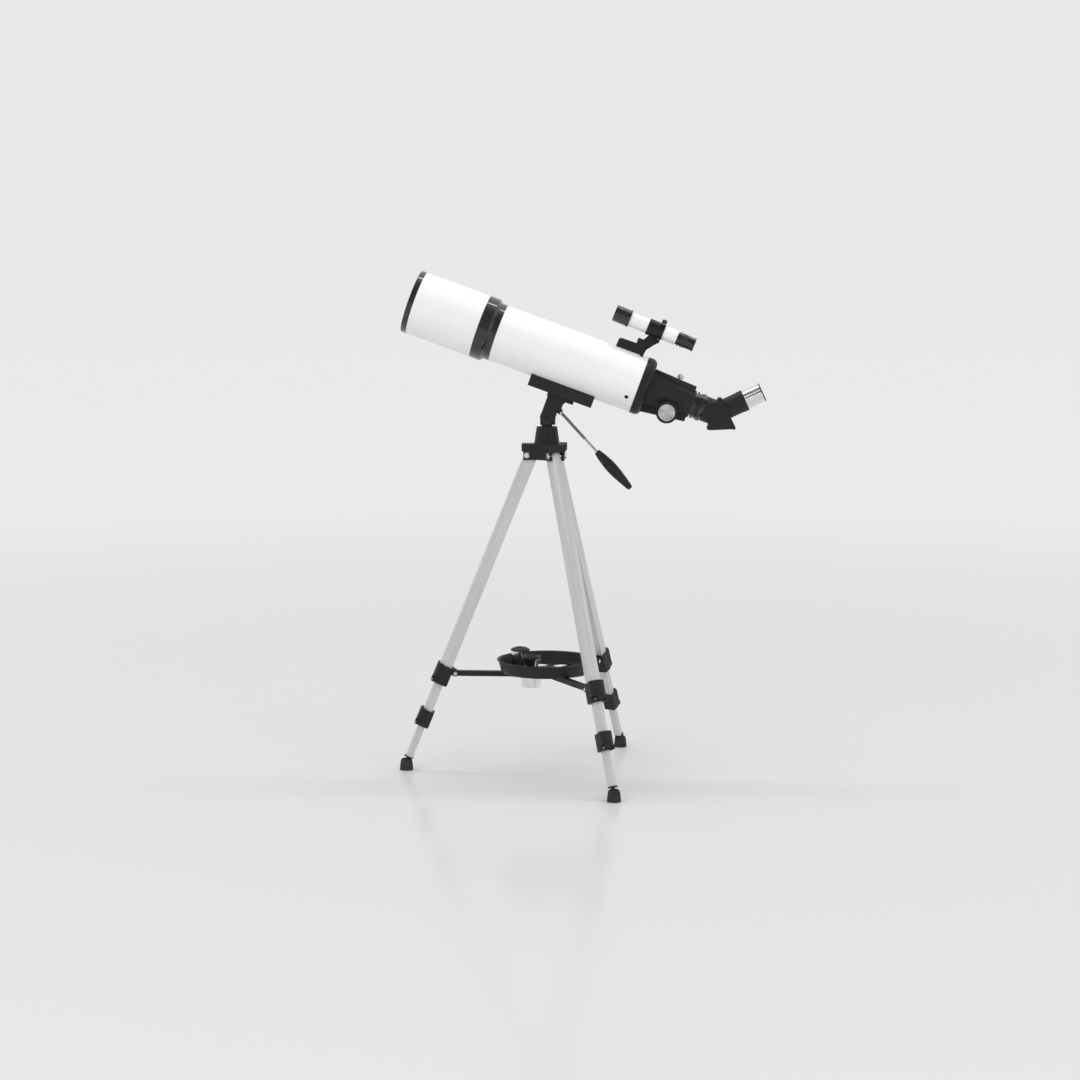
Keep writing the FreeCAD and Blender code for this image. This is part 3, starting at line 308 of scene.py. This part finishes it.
def flocking(name):
    """Dead black baffle paint."""
    material, shader = new_material(name, Specular_IOR_Level=0.15, Sheen_Weight=0.04)
    place = object_coordinates(material)
    link(material, tinted(material, noise(material, place, 300.0, 4.0), (0.006, 0.006, 0.006),
                          (0.014, 0.014, 0.014)), shader.inputs["Base Color"])
    link(material, spread(material, noise(material, place, 600.0), 0.8, 0.95),
         shader.inputs["Roughness"])
    bumped(material, shader, noise(material, place, 2600.0, 3.0), 0.0001, 0.6)
    return material


def coated_glass(name, tint, film):
    """Lens glass with the coloured sheen of its coating."""
    material, shader = new_material(name, Transmission_Weight=1.0, IOR=1.5, Coat_Weight=0.6,
                                    Coat_Roughness=0.02)
    shader.inputs["Coat Tint"].default_value = (*film, 1)
    place = object_coordinates(material)
    paler = tuple(min(1.0, value * 1.04) for value in tint)
    link(material, tinted(material, noise(material, place, 30.0), tint, paler),
         shader.inputs["Base Color"])
    link(material, spread(material, noise(material, place, 80.0), 0.01, 0.035),
         shader.inputs["Roughness"])
    return material


BLACK = (0.009, 0.009, 0.0095)
SOFT_BLACK = (0.013, 0.013, 0.0135)

white_enamel = enamel("white_enamel", (0.90, 0.90, 0.90), (0.86, 0.86, 0.86))
black_moulding = moulding("black_moulding", SOFT_BLACK, 0.46)
smooth_moulding = moulding("smooth_moulding", BLACK, 0.36, 0.00002)
black_lacquer = lacquer("black_lacquer", BLACK, TUBE.translation, TUBE_AXIS)
finder_lacquer = lacquer("finder_lacquer", BLACK, FINDER.translation, FINDER_AXIS)
eyepiece_lacquer = lacquer("eyepiece_lacquer", BLACK, EYEPIECE.translation, EYEPIECE_AXIS)
baffle_black = flocking("baffle_black")
foot_rubber = soft_rubber("foot_rubber", (0.022, 0.022, 0.022))
bright_chrome = turned_metal("bright_chrome", (0.86, 0.86, 0.86), EYEPIECE.translation,
                             EYEPIECE_AXIS, 0.07)
upright_chrome = turned_metal("upright_chrome", (0.84, 0.84, 0.84), (0, 0, 0), (0, 0, 1), 0.10)
screw_chrome = turned_metal("screw_chrome", (0.82, 0.82, 0.82), (0, 0, 0), (0, 1, 0), 0.12)
rod_steel = turned_metal("rod_steel", (0.62, 0.62, 0.63), HANDLE.translation, HANDLE_AXIS, 0.22)
dark_steel = turned_metal("dark_steel", (0.30, 0.30, 0.31), HANDLE.translation, HANDLE_AXIS, 0.20)
pinion_brass = turned_metal("pinion_brass", (0.78, 0.60, 0.30), KNOBS.translation, (0, 1, 0), 0.22)
knob_face = spun_face("knob_face")
lens_glass = coated_glass("lens_glass", (0.93, 0.97, 0.95), (0.55, 0.85, 0.65))
prism_glass = coated_glass("prism_glass", (0.95, 0.97, 0.97), (0.9, 0.95, 1.0))
eye_glass = coated_glass("eye_glass", (0.90, 0.93, 0.97), (0.65, 0.6, 0.95))
leg_metal = {leg: drawn_metal("leg_metal_" + leg, (0.58, 0.58, 0.585), (0.66, 0.66, 0.665),
                              leg_down(leg), 0.42, 0.35) for leg in LEGS}


# ---------------------------------------------------------------- dressing the CAD nodes

def dress(node, *materials):
    """Give a CAD node its material slots; the first one covers it all."""
    shown = NODES[node]
    shown.data.materials.clear()
    for material in materials:
        shown.data.materials.append(material)
    for face in shown.data.polygons:
        face.material_index = 0


def dress_where(node, slot, test):
    """Move the faces whose centre passes the test to another material slot."""
    for face in NODES[node].data.polygons:
        if test(face.center, face.normal):
            face.material_index = slot


def along_and_out(matrix):
    """A function that gives a point's station along a frame's x and its distance from it."""
    inverse = matrix.inverted()

    def measure(point):
        here = inverse @ point
        return here.x / MM, math.hypot(here.y, here.z) / MM
    return measure


def soften_edges(node, width, angle=35.0, segments=2):
    """Break a CAD node's sharp edges, which catch the light on the real mouldings."""
    bevel = NODES[node].modifiers.new("edge", "BEVEL")
    bevel.width = width * MM
    bevel.segments = segments
    bevel.limit_method = "ANGLE"
    bevel.angle_limit = math.radians(angle)
    bevel.harden_normals = False
    bevel.use_clamp_overlap = True


def smooth(thing, angle=32.0):
    """Smooth shading that keeps the corners sharper than the angle."""
    thing.data.shade_smooth()
    mesh = bmesh.new()
    mesh.from_mesh(thing.data)
    for edge in mesh.edges:
        edge.smooth = len(edge.link_faces) == 2 and edge.calc_face_angle(0.0) < math.radians(angle)
    mesh.to_mesh(thing.data)
    mesh.free()


tube_place = along_and_out(TUBE)
finder_place = along_and_out(FINDER)
eyepiece_place = along_and_out(EYEPIECE)
handle_place = along_and_out(HANDLE)

for name in NODES:
    dress(name, black_moulding)

# Faces of these nodes that lie nearer their frame's axis than this are the blackened bore.
BORE_RADIUS = {"main_tube": 45.2, "dew_shield": 49.8, "objective_cell": 43.5, "drawtube": 17.1,
               "finder_tube": 10.8}
EYEPIECE_HEAD_START = 28.05
EYEPIECE_EYE_RADIUS = 14
FINDER_SCREW_SHANK_RADIUS = 17.0
DARK_ROD_END = 60


def dress_with_bore(node, outside, measure):
    """The outside material all over, and baffle black in the bore."""
    dress(node, outside, baffle_black)
    dress_where(node, 1, lambda point, normal: measure(point)[1] < BORE_RADIUS[node])


def eyepiece_is_black(point, normal):
    station, radius = eyepiece_place(point)
    return station > EYEPIECE_HEAD_START or (station > 1 and radius < EYEPIECE_EYE_RADIUS)


dress_with_bore("main_tube", white_enamel, tube_place)
dress_with_bore("dew_shield", white_enamel, tube_place)
dress("dew_shield_ring", black_lacquer)
dress_with_bore("objective_cell", black_lacquer, tube_place)
dress("objective_lenses", lens_glass)
dress_with_bore("drawtube", black_lacquer, tube_place)
dress("pinion_shaft", pinion_brass)
dress("focus_knobs", smooth_moulding)
dress("focus_lock_screw", bright_chrome)
dress("prism", prism_glass)
dress("eyepiece", bright_chrome, eyepiece_lacquer)
dress_where("eyepiece", 1, eyepiece_is_black)
dress_with_bore("finder_tube", white_enamel, finder_place)
dress("finder_objective_cell", finder_lacquer)
dress("finder_eyepiece", finder_lacquer)
dress("finder_bracket", smooth_moulding)
dress("finder_screws", smooth_moulding, screw_chrome)
dress_where("finder_screws", 1,
            lambda point, normal: finder_place(point)[1] < FINDER_SCREW_SHANK_RADIUS)
dress("handle_rod", dark_steel, rod_steel)
dress_where("handle_rod", 1, lambda point, normal: handle_place(point)[0] > DARK_ROD_END)
dress("tilt_pin", smooth_moulding)
dress("hub_bolts", screw_chrome)
for leg in LEGS:
    for part in ("upper_tube", "middle_tube", "lower_tube"):
        dress("leg_%s_%s" % (leg, part), leg_metal[leg])
    dress("leg_%s_foot" % leg, foot_rubber)


TRAY_FLOOR_THICKNESS = 2.4


def dress_spare(node, silver_low, silver_high):
    """Chrome barrel and silver body, black elsewhere, told apart by height over the tray."""
    dress(node, black_moulding, upright_chrome)
    low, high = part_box(node)
    centre = (low + high) / 2
    tray_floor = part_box("tray")[0].z / MM + TRAY_FLOOR_THICKNESS

    def silver(point, normal):
        height = point.z / MM - tray_floor
        outward = normal.x * (point.x - centre.x) + normal.y * (point.y - centre.y) > 0
        return height < 0.05 or (silver_low < height < silver_high and outward)
    dress_where(node, 1, silver)


dress_spare("spare_eyepiece_1", 14.7, 27.3)
dress_spare("spare_eyepiece_2", 14.1, 26.9)

for name in NODES:
    smooth(NODES[name])

for name, width in {"hub_crown": 1.0, "saddle": 0.5, "finder_bracket": 0.4, "tilt_block": 0.8,
                    "pan_head": 0.6, "diagonal_housing": 0.5, "tray": 0.25}.items():
    soften_edges(name, width)
for leg in LEGS:
    for part, width in {"upper_collar": 0.7, "lower_collar": 0.6, "upper_lever": 0.4,
                        "lower_lever": 0.4, "brace": 0.5}.items():
        soften_edges("leg_%s_%s" % (leg, part), width)


# ---------------------------------------------------------------- mesh helpers for added pieces

def piece(name, mesh, matrix, material, body, angle=32.0):
    """Finish a bmesh as a piece in its frame, riding on a CAD body."""
    bmesh.ops.recalc_face_normals(mesh, faces=mesh.faces)
    data = bpy.data.meshes.new(name)
    mesh.to_mesh(data)
    mesh.free()
    thing = bpy.data.objects.new(name, data)
    bpy.context.scene.collection.objects.link(thing)
    thing.matrix_world = matrix
    data.materials.append(material)
    smooth(thing, angle)
    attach(thing, body)


def lathe(outline, segments=96, ripple=None):
    """A closed body of revolution about x from (along, radius) points in millimetres.

    ripple(along, radius, angle) may return a changed radius, for knurls and flutes.
    A point on the axis closes the body with a cap.
    """
    mesh = bmesh.new()
    rings = []
    for along, radius in outline:
        if radius < 1e-6:
            rings.append([mesh.verts.new((along * MM, 0, 0))])
            continue
        ring = []
        for step in range(segments):
            angle = 2 * math.pi * step / segments
            out = ripple(along, radius, angle) if ripple else radius
            ring.append(mesh.verts.new((along * MM, out * MM * math.sin(angle),
                                        out * MM * math.cos(angle))))
        rings.append(ring)
    closed = len(rings[0]) > 1
    pairs = list(zip(rings, rings[1:]))
    if closed:
        pairs.append((rings[-1], rings[0]))
    for first, second in pairs:
        for step in range(segments):
            following = (step + 1) % segments
            corners = [first[step % len(first)], first[following % len(first)],
                       second[following % len(second)], second[step % len(second)]]
            unique = []
            for corner in corners:
                if corner not in unique:
                    unique.append(corner)
            if len(unique) > 2:
                mesh.faces.new(unique)
    return mesh


def dome(radius, height):
    """Outline of a low domed screw head, standing on its own base plane."""
    steps = 8
    points = [(-0.3, 0.0), (-0.3, radius * 0.98), (height * 0.18, radius)]
    for step in range(1, steps):
        turn = math.pi / 2 * step / steps
        points.append((height * (0.18 + 0.82 * math.sin(turn)), radius * math.cos(turn)))
    points.append((height, 0.0))
    return points


def crossed(mesh, reach, width, depth):
    """Sink a Phillips recess in a domed head made by lathe."""
    for vert in mesh.verts:
        side, up = abs(vert.co.y), abs(vert.co.z)
        if max(side, up) < reach * MM and min(side, up) < width * MM and vert.co.x > 0:
            vert.co.x -= depth * MM
    return mesh


def facing(point, outward):
    """A frame at a point whose x looks outward."""
    outward = Vector(outward).normalized()
    helper = SIDEWAYS
    if abs(outward.dot(helper)) > 0.95:
        helper = Vector((0, 0, 1))
    return local_frame(point, outward, helper)


# ---------------------------------------------------------------- added detail on the tube

TUBE_SCREW_TURNS = (-120.0, -16.0, 120.0)
TUBE_SCREW_STATION = 108.2


def tube_screws():
    """Black cross-head screws that hold the focuser's spigot in the tube."""
    tube_radius = (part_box("main_tube")[1].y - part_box("main_tube")[0].y) / 2
    for count, degrees in enumerate(TUBE_SCREW_TURNS):
        turn = math.radians(degrees)
        outward = Vector((0, math.sin(turn), math.cos(turn)))
        point = Vector((TUBE_SCREW_STATION * MM, 0, 0)) + outward * tube_radius
        place = TUBE @ facing(point, outward)
        mesh = crossed(lathe(dome(3.1, 1.7), 48), 1.7, 0.45, 0.7)
        piece("tube_screw_%d" % count, mesh, place, smooth_moulding, "optical_tube")


def baffles():
    """Knife-edge stops inside the main tube, seen through the objective."""
    for count, (station, opening) in enumerate(((-70.0, 36.0), (-10.0, 31.0), (50.0, 27.0))):
        outline = [(station, opening), (station - 0.4, opening + 0.6), (station - 0.4, 44.9),
                   (station + 0.4, 44.9), (station + 0.4, opening + 0.6)]
        piece("tube_baffle_%d" % count, lathe(outline), TUBE, baffle_black, "optical_tube")


def shield_ribs():
    """Threads of light-trapping ridges inside the dew shield."""
    first, last, pitch = -244.0, -166.0, 2.6
    outline = [(first, 49.55)]
    station = first
    while station < last:
        outline.append((station, 49.2))
        outline.append((station + pitch / 2, 48.7))
        station += pitch
    outline.append((last, 49.55))
    piece("dew_shield_ridges", lathe(outline), TUBE, baffle_black, "shield")


def lens_retainer():
    """Ring that holds the objective in its cell; its thread and two key slots are not modelled."""
    outline = [(-147.0, 40.2), (-147.0, 43.0), (-142.6, 41.6), (-141.2, 41.0), (-141.2, 39.4),
               (-143.0, 39.4), (-145.4, 40.0)]
    piece("lens_retainer", lathe(outline, 128), TUBE, black_lacquer, "optical_tube")


# ---------------------------------------------------------------- added detail on the focuser

KNOB_RIBS = 48


def knob_details():
    """Ribbed grips and spun faces on both focus knobs."""
    def ribs(along, radius, angle):
        if radius < 16.8:
            return radius
        return radius + 0.32 * (0.5 + 0.5 * math.cos(angle * KNOB_RIBS)) ** 2

    for side, sign in (("left", 1), ("right", -1)):
        place = KNOBS @ Matrix.Rotation(sign * math.radians(90), 4, "Z")
        grip = [(31.0, 16.4), (31.0, 16.8), (31.4, 16.98),
                (38.6, 16.98), (39.0, 16.8), (39.0, 16.4)]
        piece("focus_grip_" + side, lathe(grip, KNOB_RIBS * 8, ribs), place, smooth_moulding,
              "focus_drive", 50)
        face = [(39.4, 0.0), (39.4, 13.5), (40.3, 13.5), (40.6, 13.2), (40.65, 12.6), (40.45, 11.8),
                (40.40, 4.0), (40.36, 1.6), (40.2, 1.2), (40.2, 0.0)]
        piece("focus_face_" + side, lathe(face, 128), place, knob_face, "focus_drive")


def lock_screw_knurl():
    """Knurled collar on the lock screw's head."""
    origin = joint_point("focus_lock_turn") - joint_axis("focus_lock_turn") * 30 * MM
    place = local_frame(origin, joint_axis("focus_lock_turn"), SIDEWAYS)

    def knurl(along, radius, angle):
        return radius + 0.22 * abs(math.cos(angle * 12)) if radius > 4.5 else radius

    outline = [(32.7, 4.3), (32.7, 4.58), (33.0, 4.66), (37.0, 4.66), (37.3, 4.58), (37.3, 4.3)]
    piece("lock_screw_knurl", lathe(outline, 192, knurl), place, bright_chrome, "focus_lock", 40)


def draw_mouth():
    """Retaining ring at the mouth that the drawtube leaves by, wide enough for the rack."""
    outline = [(209.75, 20.9), (209.75, 22.1), (211.0, 21.8), (211.0, 20.9)]
    piece("draw_mouth_ring", lathe(outline), TUBE, black_lacquer, "optical_tube")


# ---------------------------------------------------------------- added detail on the diagonal

def bead(name, point, radius, half, body, material):
    """A rounded bead across the diagonal's width at a corner of its side view."""
    mesh = lathe([(-half, 0.0), (-half, radius - 0.4), (-half + 0.4, radius), (half - 0.4, radius),
                  (half, radius - 0.4), (half, 0.0)], 32)
    place = TUBE @ Matrix.Translation(Vector((point[0] * MM, 0, point[1] * MM)))
    piece(name, mesh, place @ Matrix.Rotation(math.radians(90), 4, "Z"), material, body)


def diagonal_details():
    corners = ((247.4, -26.6), (285.6, -12.2), (249.5, 23.6))
    for count, corner in enumerate(corners):
        bead("diagonal_bead_%d" % count, corner, 2.1, 19.7, "star_diagonal", smooth_moulding)


def glass_cap(name, place, station, radius, bulge, body, material):
    """A lens whose near side is slightly domed."""
    outline = [(station - 1.6, 0.0), (station - 1.6, radius), (station, radius)]
    steps = 6
    for step in range(1, steps):
        turn = step / steps
        outline.append((station + bulge * (1 - (1 - turn) ** 2), radius * (1 - turn)))
    outline.append((station + bulge, 0.0))
    piece(name, lathe(outline, 64), place, material, body)


def eyepiece_details():
    glass_cap("eyepiece_lens", EYEPIECE, 22.6, 8.45, 1.2, "main_eyepiece", eye_glass)
    cup = [(26.8, 8.8), (26.8, 11.8), (29.75, 15.2), (30.0, 14.4), (29.9, 12.4), (27.6, 9.0)]
    piece("eyepiece_cup", lathe(cup, 96), EYEPIECE, foot_rubber, "main_eyepiece")
    stop = [(-21.9, 9.0), (-21.9, 13.7), (-21.2, 13.7), (-21.2, 9.4)]
    piece("eyepiece_field_stop", lathe(stop, 96), EYEPIECE, baffle_black, "main_eyepiece")


# ---------------------------------------------------------------- added detail on the finder

def finder_details():
    front = FINDER @ Matrix.Rotation(math.pi, 4, "Z")
    glass_cap("finder_front_lens", front, 66.5, 10.02, 1.4, "finder", lens_glass)
    glass_cap("finder_eye_lens", FINDER, 62.4, 5.9, 0.7, "finder_ocular", eye_glass)

    def ribs(along, radius, angle):
        return radius + 0.25 * (0.5 + 0.5 * math.cos(angle * 36)) if radius > 10.7 else radius

    grip = [(43.0, 10.4), (43.0, 10.6), (43.4, 10.75), (51.6, 10.75), (52.0, 10.6), (52.0, 10.4)]
    piece("finder_focus_grip", lathe(grip, 288, ribs), FINDER, finder_lacquer, "finder_ocular", 50)


# ---------------------------------------------------------------- added detail on head and stand

def handle_details():
    """Chrome ferrule at the handle's root."""
    ferrule = [(2.1, 2.47), (2.1, 3.9), (2.5, 4.3), (4.4, 4.3), (5.2, 3.7), (5.6, 2.47)]
    piece("handle_ferrule", lathe(ferrule, 64), HANDLE, bright_chrome, "handle")


TRAY_SCREW_RADIUS = 30.5


def tray_screws():
    """Domed screws where the braces meet the tray."""
    tray_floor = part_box("tray")[0].z + TRAY_FLOOR_THICKNESS * MM
    for leg in LEGS:
        outward = Vector(JOINTS["leg_%s_fold" % leg]["pos_m"])
        outward.z = 0
        spot = outward.normalized() * TRAY_SCREW_RADIUS * MM
        place = facing(Vector((spot.x, spot.y, tray_floor)), (0, 0, 1))
        mesh = crossed(lathe(dome(2.6, 1.5), 48), 1.5, 0.4, 0.6)
        piece("tray_screw_" + leg, mesh, place, upright_chrome, "accessory_tray")


RIVET_REACH = 8.5
LEVER_PIN_REACH = 9.25


def brace_rivets():
    """Domed rivet ends on the lugs of the three upper collars."""
    for leg in LEGS:
        pivot = joint_point("leg_%s_brace_fold" % leg)
        axis = joint_axis("leg_%s_brace_fold" % leg)
        for side, sign in (("left", 1), ("right", -1)):
            place = facing(pivot + axis * sign * RIVET_REACH * MM, axis * sign)
            piece("leg_%s_rivet_%s" % (leg, side), lathe(dome(2.9, 1.2), 40), place, screw_chrome,
                  "leg_%s" % leg)


def lever_pins():
    """Ends of the steel pins that the clamp levers turn on."""
    for leg in LEGS:
        for level, body in (("upper", "leg_%s" % leg), ("lower", "leg_%s_middle" % leg)):
            joint = "leg_%s_%s_lever_open" % (leg, level)
            axis = joint_axis(joint)
            for side, sign in (("left", 1), ("right", -1)):
                place = facing(joint_point(joint) + axis * sign * LEVER_PIN_REACH * MM, axis * sign)
                piece("leg_%s_%s_pin_%s" % (leg, level, side), lathe(dome(1.2, 0.6), 24), place,
                      screw_chrome, body)


tube_screws()
baffles()
shield_ribs()
lens_retainer()
knob_details()
lock_screw_knurl()
draw_mouth()
diagonal_details()
eyepiece_details()
finder_details()
handle_details()
tray_screws()
brace_rivets()
lever_pins()


# ---------------------------------------------------------------- floor, light and camera

def ramp_between(tree, value, start, end, low, high):
    """A smooth change from low to high while the value goes from start to end."""
    node = tree.nodes.new("ShaderNodeMapRange")
    node.interpolation_type = "SMOOTHSTEP"
    tree.links.new(value, node.inputs["Value"])
    for socket, number in (("From Min", start), ("From Max", end),
                           ("To Min", low), ("To Max", high)):
        node.inputs[socket].default_value = number
    return node.outputs["Result"]


HORIZON_TONE = 0.807


def floor():
    """A wide pale floor with a faint sheen, its colour painted darker towards the middle as painted
    shade round the telescope.
    """
    mesh = bmesh.new()
    bmesh.ops.create_circle(mesh, cap_ends=True, segments=128, radius=60.0)
    data = bpy.data.meshes.new("floor")
    mesh.to_mesh(data)
    mesh.free()
    ground = bpy.data.objects.new("floor", data)
    bpy.context.scene.collection.objects.link(ground)
    paint = bpy.data.materials.new("floor_paint")
    paint.use_nodes = True
    paint.node_tree.nodes.remove(paint.node_tree.nodes["Principled BSDF"])
    away = vector_math(paint, "LENGTH", object_coordinates(paint), (0, 0, 0)).outputs["Value"]
    # Painted shade: the floor's colour goes from 0.80 far out to 0.62 near the middle, where the
    # telescope stands and the lamps' light pools.
    painted_shade_tone = ramp_between(paint.node_tree, away, 0.3, 5.0, 0.62, 0.80)
    matt = add_node(paint, "ShaderNodeBsdfDiffuse", Color=painted_shade_tone)
    sheen = add_node(paint, "ShaderNodeBsdfGlossy", Color=(1, 1, 1, 1), Roughness=0.17)
    blend = add_node(paint, "ShaderNodeMixShader", Fac=0.13)
    link(paint, matt.outputs["BSDF"], blend.inputs[1])
    link(paint, sheen.outputs["BSDF"], blend.inputs[2])
    link(paint, blend.outputs["Shader"], paint.node_tree.nodes["Material Output"].inputs["Surface"])
    data.materials.append(paint)


def softbox(name, place, aim, size, power):
    light = bpy.data.lights.new(name, "AREA")
    light.shape = "RECTANGLE"
    light.size, light.size_y = size
    light.energy = power
    lamp = bpy.data.objects.new(name, light)
    bpy.context.scene.collection.objects.link(lamp)
    lamp.location = place
    lamp.rotation_euler = (Vector(aim) - Vector(place)).to_track_quat("-Z", "Y").to_euler()
    return lamp


def choose(tree, switch, otherwise, chosen):
    """The value chosen where the switch is 1, and the other one where it is 0."""
    node = tree.nodes.new("ShaderNodeMix")
    tree.links.new(switch, node.inputs[0])
    feed(tree, node.inputs[2], otherwise)
    feed(tree, node.inputs[3], chosen)
    return node.outputs[0]


def world():
    """Pale studio: light from above, a plain backdrop, and a dim room behind the camera."""
    surroundings = bpy.data.worlds.new("studio")
    bpy.context.scene.world = surroundings
    surroundings.use_nodes = True
    tree = surroundings.node_tree
    direction = tree.nodes.new("ShaderNodeSeparateXYZ")
    tree.links.new(tree.nodes.new("ShaderNodeTexCoord").outputs["Generated"], direction.inputs[0])
    rays = tree.nodes.new("ShaderNodeLightPath")
    sky = ramp_between(tree, direction.outputs["Z"], 0.0, 1.0, HORIZON_TONE, 1.12)
    room = ramp_between(tree, direction.outputs["Y"], -0.55, 0.25, 0.22, HORIZON_TONE)
    light = choose(tree, rays.outputs["Is Glossy Ray"], sky, room)
    light = choose(tree, rays.outputs["Is Camera Ray"], light, HORIZON_TONE)
    background = tree.nodes["Background"]
    background.inputs["Color"].default_value = (1, 1, 1, 1)
    tree.links.new(light, background.inputs["Strength"])


def camera():
    """Long lens at the telescope's left side, a little above its middle."""
    heading = math.radians(3.553)
    pitch = math.radians(6.635)
    forward = Vector((-math.sin(heading) * math.cos(pitch), math.cos(heading) * math.cos(pitch),
                      -math.sin(pitch)))
    lens = bpy.data.cameras.new("camera")
    lens.lens = 70.0
    lens.sensor_width = 36.0
    lens.clip_end = 100.0
    view = bpy.data.objects.new("camera", lens)
    bpy.context.scene.collection.objects.link(view)
    view.location = (0.1972, -3.3542, 0.7708)
    view.rotation_euler = forward.to_track_quat("-Z", "Y").to_euler()
    bpy.context.scene.camera = view


floor()
world()
middle = (0.05, 0, 0.5)
softbox("key", (-1.4, -2.6, 2.2), middle, (1.8, 1.4), 12)
softbox("fill", (2.4, -2.2, 1.4), middle, (1.2, 1.6), 7)
softbox("top_strip", (0.0, 0.35, 2.6), (0.0, 0.0, 0.6), (2.6, 0.10), 12)
softbox("front_strip", (0.2, -3.9, 1.05), middle, (0.7, 0.07), 1.2)
camera()
bpy.context.scene.view_settings.view_transform = "Standard"
